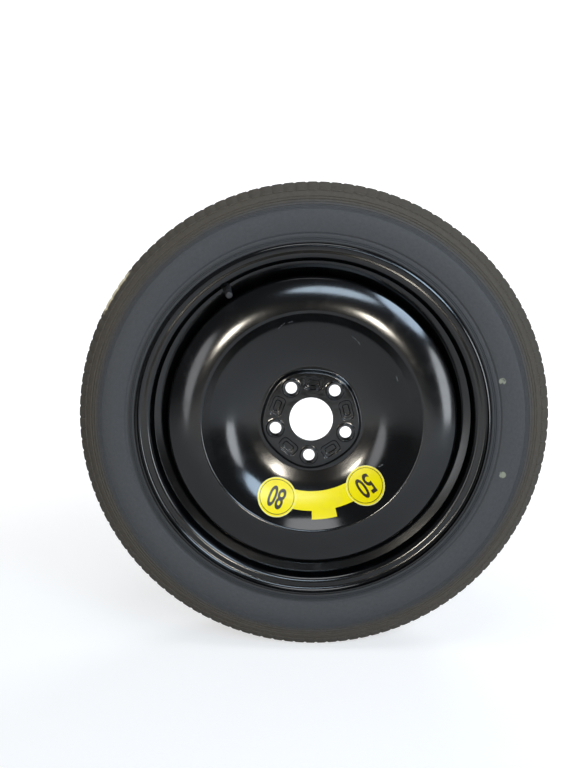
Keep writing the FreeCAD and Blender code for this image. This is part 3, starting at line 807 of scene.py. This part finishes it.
def end_frame(side):
    """Frame of a round end of the label: x to the right of its number, y outwards along the dish."""
    turn = math.radians(LABEL_ANGLE + side * LABEL_HALF_SPAN)
    outwards = Vector((math.cos(turn), 0, math.sin(turn)))
    right = Vector((outwards.z, 0, -outwards.x))
    frame_of_end = Matrix.Identity(4)
    for column, axis in enumerate((right, outwards * math.cos(LABEL_LEAN), AXLE * -1)):
        frame_of_end.col[column].xyz = axis
    frame_of_end.translation = outwards * LABEL_RADIUS * MM
    return frame_of_end


def lay_on(bm, ground, lift):
    """Drop every point along the axle onto the pressing, and lift it off by a thin film."""
    for vert in bm.verts:
        hit, normal, _face, _far = ground.ray_cast(Vector((vert.co.x, -0.2, vert.co.z)), AXLE)
        vert.co = hit - AXLE * (lift * MM / max(0.5, abs(normal.y)))


def round_end(bm, side):
    """One round end: a pale border, the film, and a thin printed ring."""
    made = bmesh.ops.create_circle(bm, cap_ends=True, segments=96, radius=LABEL_DISC * MM)
    bmesh.ops.transform(bm, matrix=end_frame(side), verts=made["verts"])
    face = made["verts"][0].link_faces[0]
    for width, finish in END_RINGS:
        rim = bmesh.ops.inset_region(bm, faces=[face], thickness=width * MM, use_boundary=True)["faces"]
        for strip in rim:
            strip.material_index = finish
    bmesh.ops.poke(bm, faces=[face])


def ring_strip(bm, inner, outer, half_span, rows, steps):
    """A strip of the label's band, spun about the axle."""
    radii = [inner + (outer - inner) * i / rows for i in range(rows + 1)]
    line = [bm.verts.new(on_wheel(LABEL_ANGLE - half_span, radius, 0)) for radius in radii]
    edges = [bm.edges.new(pair) for pair in zip(line, line[1:])]
    spin(bm, line + edges, steps, -math.radians(2 * half_span))


def number_mesh(digits):
    """A printed number as a flat mesh, cut into narrow slices so that it can follow the dish."""
    text = bpy.data.curves.new("number", "FONT")
    text.body = digits
    text.size = DIGIT_SIZE * MM
    text.align_x = "CENTER"
    text.align_y = "CENTER"
    text.offset = DIGIT_BOLDNESS * MM
    holder = bpy.data.objects.new("number", text)
    bpy.context.collection.objects.link(holder)
    bpy.context.view_layer.update()
    solved = holder.evaluated_get(bpy.context.evaluated_depsgraph_get())
    flat = bpy.data.meshes.new_from_object(solved)
    bpy.data.objects.remove(holder)
    bm = bmesh.new()
    bm.from_mesh(flat)
    bmesh.ops.remove_doubles(bm, verts=bm.verts, dist=1e-6)
    bmesh.ops.scale(bm, vec=(DIGIT_NARROWING, 1, 1), verts=bm.verts)
    for i in range(-12, 13):
        for normal in ((1, 0, 0), (0, 1, 0)):
            cut = Vector(normal) * (DIGIT_SLICE * i * MM)
            everything = bm.verts[:] + bm.edges[:] + bm.faces[:]
            bmesh.ops.bisect_plane(bm, geom=everything, dist=1e-7, plane_co=cut, plane_no=normal)
    return bm


def make_label(pressing):
    """Film, then its printed numbers, laid on the pressing."""
    shape = bmesh.new()
    shape.from_mesh(pressing.data)
    ground = BVHTree.FromBMesh(shape)
    shape.free()
    film = bmesh.new()
    ring_strip(film, *LABEL_BAND, LABEL_HALF_SPAN, 8, 60)
    ring_strip(film, *LABEL_TAB, LABEL_TAB_HALF, 5, 16)
    lay_on(film, ground, BAND_LIFT)
    ends = bmesh.new()
    for side in (-1, 1):
        round_end(ends, side)
    lay_on(ends, ground, FILM_LIFT)
    laid_ends = bpy.data.meshes.new("label_ends")
    ends.to_mesh(laid_ends)
    ends.free()
    film.from_mesh(laid_ends)
    face_front(film)
    label = new_piece(
        film, "speed_label_film", [YELLOW, PALE, PRINT], "wheel", "label_film", "speed_label", flats=False
    )
    label.visible_glossy = False
    thicken(label, "film", FILM)
    for digits, side in (("80", -1), ("50", 1)):
        bm = number_mesh(digits)
        bmesh.ops.transform(bm, matrix=end_frame(side), verts=bm.verts)
        lay_on(bm, ground, PRINT_LIFT)
        face_front(bm)
        number = new_piece(bm, f"label_number_{digits}", [PRINT], "wheel", "label_film", flats=False)
        thicken(number, "ink", INK)


# Build
disc = make_disc()
make_rim()
make_tyre()
make_valve()
make_label(disc)
CAD_FINISHES = {
    "disc_welds": PAINT,
    "valve_stem": BRASS,
    "valve_core": BRASS,
    "valve_pin": BRASS,
    "valve_core_seal": SEAL,
    "valve_pin_seal": SEAL,
    "valve_spring": STEEL,
}
for node, finish in CAD_FINISHES.items():
    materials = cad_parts[node].data.materials
    materials.clear()
    materials.append(finish)
fit_spring()


# Stage
FLOOR = cad_box[0].z
FLOOR_HALF = 6.0
BACKDROP_RADIUS = 2.6
BACKDROP_HEIGHT = 4.0
BACKDROP_MIDDLE = Vector((0, -0.4, FLOOR))


def seen_by(start):
    """Whether the camera, gloss or glass looks at this place."""
    return [
        start.node("ShaderNodeLightPath", {}, {}, ray)
        for ray in ("Is Camera Ray", "Is Glossy Ray", "Is Transmission Ray")
    ]


def stage_finish():
    """White paper: it takes shadows, and has a glow that the camera sees, and gloss and glass dimly."""
    material, start = new_material("stage_paper")
    x, outboard, _z = wheel_axes(start, object_place(start))
    far = span(start, x, outboard).ramp(0.45, 1.7)
    camera, gloss, glass = seen_by(start)
    paper = start.node("ShaderNodeBsdfDiffuse", {}, {"Color": colour(0.55, 0.55, 0.555)})
    seen = (0.60 + 0.36 * far) * camera + 0.14 * gloss + 0.14 * glass
    glow = start.node("ShaderNodeEmission", {}, {"Color": colour(1, 1, 1), "Strength": seen})
    lit_paper = start.node("ShaderNodeAddShader", {}, {0: paper, 1: glow})
    start.node("ShaderNodeOutputMaterial", {}, {0: lit_paper})
    return material


def make_stage():
    """A floor and a half-round wall behind the wheel."""
    paper = stage_finish()
    bm = bmesh.new()
    bmesh.ops.create_grid(bm, x_segments=1, y_segments=1, size=FLOOR_HALF)
    bmesh.ops.translate(bm, verts=bm.verts, vec=(0, 0, FLOOR))
    low = bm.verts.new(BACKDROP_MIDDLE + Vector((BACKDROP_RADIUS, 0, 0)))
    high = bm.verts.new(BACKDROP_MIDDLE + Vector((BACKDROP_RADIUS, 0, BACKDROP_HEIGHT)))
    edge = bm.edges.new((low, high))
    bmesh.ops.spin(
        bm,
        geom=[low, high, edge],
        cent=BACKDROP_MIDDLE,
        axis=(0, 0, 1),
        dvec=(0, 0, 0),
        angle=math.pi,
        steps=64,
    )
    mesh = bpy.data.meshes.new("stage")
    bm.to_mesh(mesh)
    bm.free()
    mesh.materials.append(paper)
    stage = bpy.data.objects.new("stage", mesh)
    bpy.context.collection.objects.link(stage)


def area_light(name, place, width, height, watts, tone):
    """A soft lamp that looks at the middle of the wheel."""
    lamp = bpy.data.lights.new(name, "AREA")
    lamp.shape = "ELLIPSE"
    lamp.size = width
    lamp.size_y = height
    lamp.energy = watts
    lamp.color = tone
    holder = bpy.data.objects.new(name, lamp)
    holder.location = place
    holder.rotation_euler = (-Vector(place)).to_track_quat("-Z", "Y").to_euler()
    holder.visible_camera = False
    bpy.context.collection.objects.link(holder)


def make_light():
    """Two warm lamps beside the camera, a cool window, cards at both sides, top and back lights."""
    area_light("left_lamp", (-0.62, -2.45, 0.26), 0.22, 0.30, 9.9, (1.0, 0.93, 0.80))
    area_light("right_lamp", (0.50, -2.45, 0.28), 0.20, 0.28, 8.7, (1.0, 0.93, 0.80))
    area_light("window", (1.30, -1.55, 1.20), 0.75, 0.95, 18.6, (0.62, 0.80, 1.0))
    area_light("right_card", (1.45, -1.45, 0.0), 0.5, 1.1, 8.1, (0.88, 0.94, 1.0))
    area_light("left_card", (-1.0, -1.75, 0.1), 0.4, 0.9, 2.5, (0.95, 0.97, 1.0))
    area_light("front_top", (0.30, -1.90, 1.15), 1.1, 0.4, 9.9, (0.68, 0.84, 1.0))
    area_light("back_light", (0.7, 1.7, 1.0), 1.2, 1.0, 16.1, (0.95, 0.98, 1.0))
    area_light("top_light", (0.0, -0.6, 2.4), 1.6, 1.2, 16.1, (0.95, 0.98, 1.0))


def make_room():
    """A dim room, pale for the camera."""
    world = bpy.data.worlds.new("room")
    bpy.context.scene.world = world
    world.use_nodes = True
    world.node_tree.nodes.clear()
    start = Shade(world.node_tree)
    camera, gloss, glass = seen_by(start)
    strength = 0.07 + 0.90 * camera + 0.03 * gloss + 0.03 * glass
    tone = colour(0.95, 0.98, 1.0)
    room = start.node("ShaderNodeBackground", {}, {"Color": tone, "Strength": strength})
    start.node("ShaderNodeOutputWorld", {}, {0: room})


# Camera: 576 by 768 pixels, the long side is 36 mm
def make_camera():
    """The photograph's viewing angle."""
    camera = bpy.data.cameras.new("camera")
    camera.lens = 26.77
    holder = bpy.data.objects.new("camera", camera)
    holder.location = (-0.0127, -0.8362, 0.1520)
    holder.rotation_euler = (math.radians(90 - 6.981), 0, math.radians(1.470))
    bpy.context.collection.objects.link(holder)
    bpy.context.scene.camera = holder


make_stage()
make_light()
make_room()
make_camera()
bpy.context.scene.view_settings.view_transform = "Standard"
